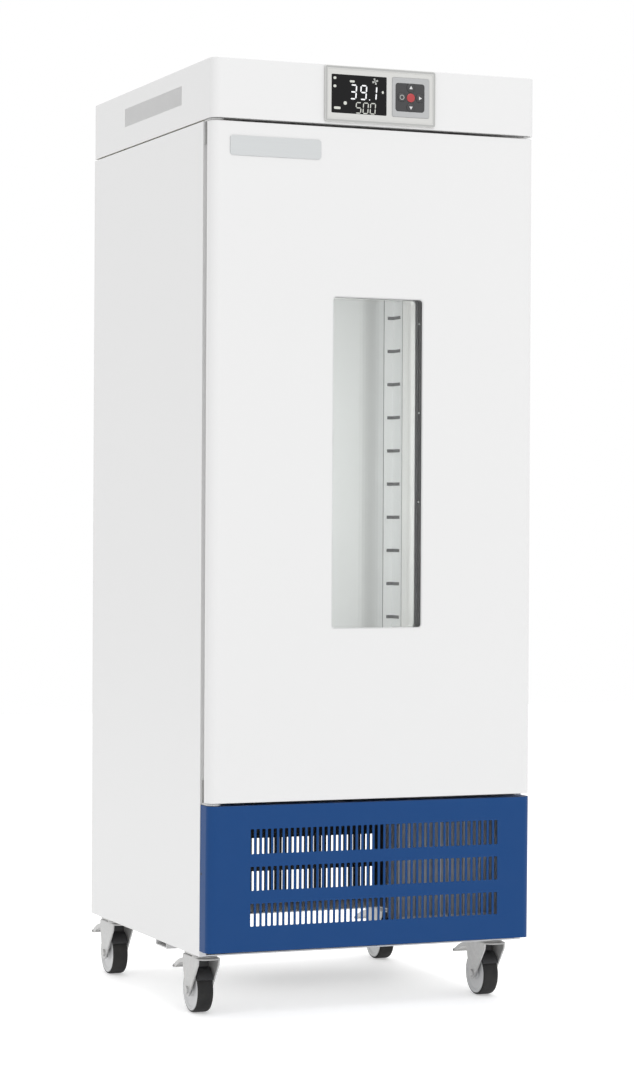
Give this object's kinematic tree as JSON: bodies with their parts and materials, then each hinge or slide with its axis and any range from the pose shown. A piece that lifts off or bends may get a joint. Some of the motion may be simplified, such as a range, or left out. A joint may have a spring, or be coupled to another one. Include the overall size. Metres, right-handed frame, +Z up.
{
  "type": "bod incubator",
  "caption": "Tall refrigerated incubator cabinet on braked casters, with a hinged glazed door, a louvred blue plinth and a top control housing.",
  "frame": {"origin": "on the floor, under the middle of the bounding box", "axes": "+Z up; -Y is the front, with the door; +X is to the right of someone facing the front"},
  "size_m": [0.58, 0.664, 1.561],
  "materials": {
    "white_paint": "fine satin powder coat",
    "blue_paint": "satin powder coat",
    "black_paint": "satin paint",
    "light_grey_plastic": "fine matt",
    "black_plastic": "gloss",
    "silver_plastic": "metallic satin",
    "red_plastic": "satin",
    "rubber": "matt",
    "grey_rubber": "matt",
    "steel": "zinc plated",
    "aluminium": "mill finish",
    "foam": "rigid foam",
    "glass": "clear",
    "board": "solder mask"
  },
  "bodies": {
    "cabinet": {"left_side_panel": "white_paint", "right_side_panel": "white_paint", "rear_panel": "white_paint", "base_frame": "white_paint", "bay_ceiling": "white_paint", "chamber_liner": "white_paint", "insulation": "foam", "top_housing": "white_paint", "control_bezel": "light_grey_plastic", "display_screen": "black_plastic", "keypad_plate": "silver_plastic", "control_board": "board", "grille_panel": "blue_paint", "condenser": "aluminium", "condenser_fan_shroud": "black_paint", "compressor": "black_paint", "air_duct_cover": "white_paint", "evaporator": "aluminium", "heater": "steel", "circulation_fan_motor": "steel", "front_left_post": "steel", "front_right_post": "steel", "rear_left_post": "steel", "rear_right_post": "steel", "lower_shelf": "steel", "upper_shelf": "steel", "upper_hinge_plate": "steel", "lower_hinge_plate": "steel", "power_inlet": "black_plastic", "front_left_caster_plate": "steel", "front_right_caster_plate": "steel", "rear_left_caster_plate": "steel", "rear_right_caster_plate": "steel"},
    "door": {"door_skin": "white_paint", "door_inner_pan": "white_paint", "door_insulation": "foam", "door_gasket": "grey_rubber", "window_outer_pane": "glass", "window_spacer": "black_plastic", "window_inner_pane": "glass", "badge_plate": "silver_plastic"},
    "front_left_caster_fork_body": {"front_left_caster_fork": "steel"},
    "front_left_caster_wheel_body": {"front_left_caster_wheel": "rubber"},
    "front_left_caster_brake_body": {"front_left_caster_brake": "steel"},
    "front_right_caster_fork_body": {"front_right_caster_fork": "steel"},
    "front_right_caster_wheel_body": {"front_right_caster_wheel": "rubber"},
    "front_right_caster_brake_body": {"front_right_caster_brake": "steel"},
    "rear_left_caster_fork_body": {"rear_left_caster_fork": "steel"},
    "rear_left_caster_wheel_body": {"rear_left_caster_wheel": "rubber"},
    "rear_left_caster_brake_body": {"rear_left_caster_brake": "steel"},
    "rear_right_caster_fork_body": {"rear_right_caster_fork": "steel"},
    "rear_right_caster_wheel_body": {"rear_right_caster_wheel": "rubber"},
    "rear_right_caster_brake_body": {"rear_right_caster_brake": "steel"},
    "up_button_body": {"up_button": "silver_plastic"},
    "down_button_body": {"down_button": "silver_plastic"},
    "left_button_body": {"left_button": "silver_plastic"},
    "right_button_body": {"right_button": "silver_plastic"},
    "centre_button_body": {"centre_button": "red_plastic"},
    "circulation_fan_body": {"circulation_fan": "aluminium"},
    "condenser_fan_body": {"condenser_fan": "aluminium"}
  },
  "joints": [
    {"name": "door_hinge", "type": "hinge", "parent": "cabinet", "child": "door", "pos_m": [-0.274, -0.31055, 0.9], "axis": [0, 0, -1], "range_deg": [0, 110]},
    {"name": "front_left_caster_swivel", "type": "hinge", "parent": "cabinet", "child": "front_left_caster_fork_body", "pos_m": [-0.26, -0.22955, 0.0958], "axis": [0, 0, 1], "continuous": true},
    {"name": "front_left_caster_spin", "type": "hinge", "parent": "front_left_caster_fork_body", "child": "front_left_caster_wheel_body", "pos_m": [-0.26, -0.19955, 0.0375], "axis": [1, 0, 0], "continuous": true},
    {"name": "front_left_caster_brake_press", "type": "hinge", "parent": "front_left_caster_fork_body", "child": "front_left_caster_brake_body", "pos_m": [-0.26, -0.18555, 0.084], "axis": [-1, 0, 0], "range_deg": [0, 12]},
    {"name": "front_right_caster_swivel", "type": "hinge", "parent": "cabinet", "child": "front_right_caster_fork_body", "pos_m": [0.26, -0.22955, 0.0958], "axis": [0, 0, 1], "continuous": true},
    {"name": "front_right_caster_spin", "type": "hinge", "parent": "front_right_caster_fork_body", "child": "front_right_caster_wheel_body", "pos_m": [0.26, -0.19955, 0.0375], "axis": [1, 0, 0], "continuous": true},
    {"name": "front_right_caster_brake_press", "type": "hinge", "parent": "front_right_caster_fork_body", "child": "front_right_caster_brake_body", "pos_m": [0.26, -0.18555, 0.084], "axis": [-1, 0, 0], "range_deg": [0, 12]},
    {"name": "rear_left_caster_swivel", "type": "hinge", "parent": "cabinet", "child": "rear_left_caster_fork_body", "pos_m": [-0.26, 0.21045, 0.0958], "axis": [0, 0, 1], "continuous": true},
    {"name": "rear_left_caster_spin", "type": "hinge", "parent": "rear_left_caster_fork_body", "child": "rear_left_caster_wheel_body", "pos_m": [-0.26, 0.24045, 0.0375], "axis": [1, 0, 0], "continuous": true},
    {"name": "rear_left_caster_brake_press", "type": "hinge", "parent": "rear_left_caster_fork_body", "child": "rear_left_caster_brake_body", "pos_m": [-0.26, 0.25445, 0.084], "axis": [-1, 0, 0], "range_deg": [0, 12]},
    {"name": "rear_right_caster_swivel", "type": "hinge", "parent": "cabinet", "child": "rear_right_caster_fork_body", "pos_m": [0.26, 0.21045, 0.0958], "axis": [0, 0, 1], "continuous": true},
    {"name": "rear_right_caster_spin", "type": "hinge", "parent": "rear_right_caster_fork_body", "child": "rear_right_caster_wheel_body", "pos_m": [0.26, 0.24045, 0.0375], "axis": [1, 0, 0], "continuous": true},
    {"name": "rear_right_caster_brake_press", "type": "hinge", "parent": "rear_right_caster_fork_body", "child": "rear_right_caster_brake_body", "pos_m": [0.26, 0.25445, 0.084], "axis": [-1, 0, 0], "range_deg": [0, 12]},
    {"name": "up_button_press", "type": "slide", "parent": "cabinet", "child": "up_button_body", "axis": [0, 1, 0], "range_m": [0, 0.0008], "stiffness_N_per_m": 500, "springref_m": -0.0006},
    {"name": "down_button_press", "type": "slide", "parent": "cabinet", "child": "down_button_body", "axis": [0, 1, 0], "range_m": [0, 0.0008], "stiffness_N_per_m": 500, "springref_m": -0.0006},
    {"name": "left_button_press", "type": "slide", "parent": "cabinet", "child": "left_button_body", "axis": [0, 1, 0], "range_m": [0, 0.0008], "stiffness_N_per_m": 500, "springref_m": -0.0006},
    {"name": "right_button_press", "type": "slide", "parent": "cabinet", "child": "right_button_body", "axis": [0, 1, 0], "range_m": [0, 0.0008], "stiffness_N_per_m": 500, "springref_m": -0.0006},
    {"name": "centre_button_press", "type": "slide", "parent": "cabinet", "child": "centre_button_body", "axis": [0, 1, 0], "range_m": [0, 0.0008], "stiffness_N_per_m": 500, "springref_m": -0.0006},
    {"name": "circulation_fan_spin", "type": "hinge", "parent": "cabinet", "child": "circulation_fan_body", "pos_m": [0, 0.12145, 1.29], "axis": [0, 1, 0], "continuous": true},
    {"name": "condenser_fan_spin", "type": "hinge", "parent": "cabinet", "child": "condenser_fan_body", "pos_m": [0.165, -0.21625, 0.2415], "axis": [0, 1, 0], "continuous": true}
  ]
}
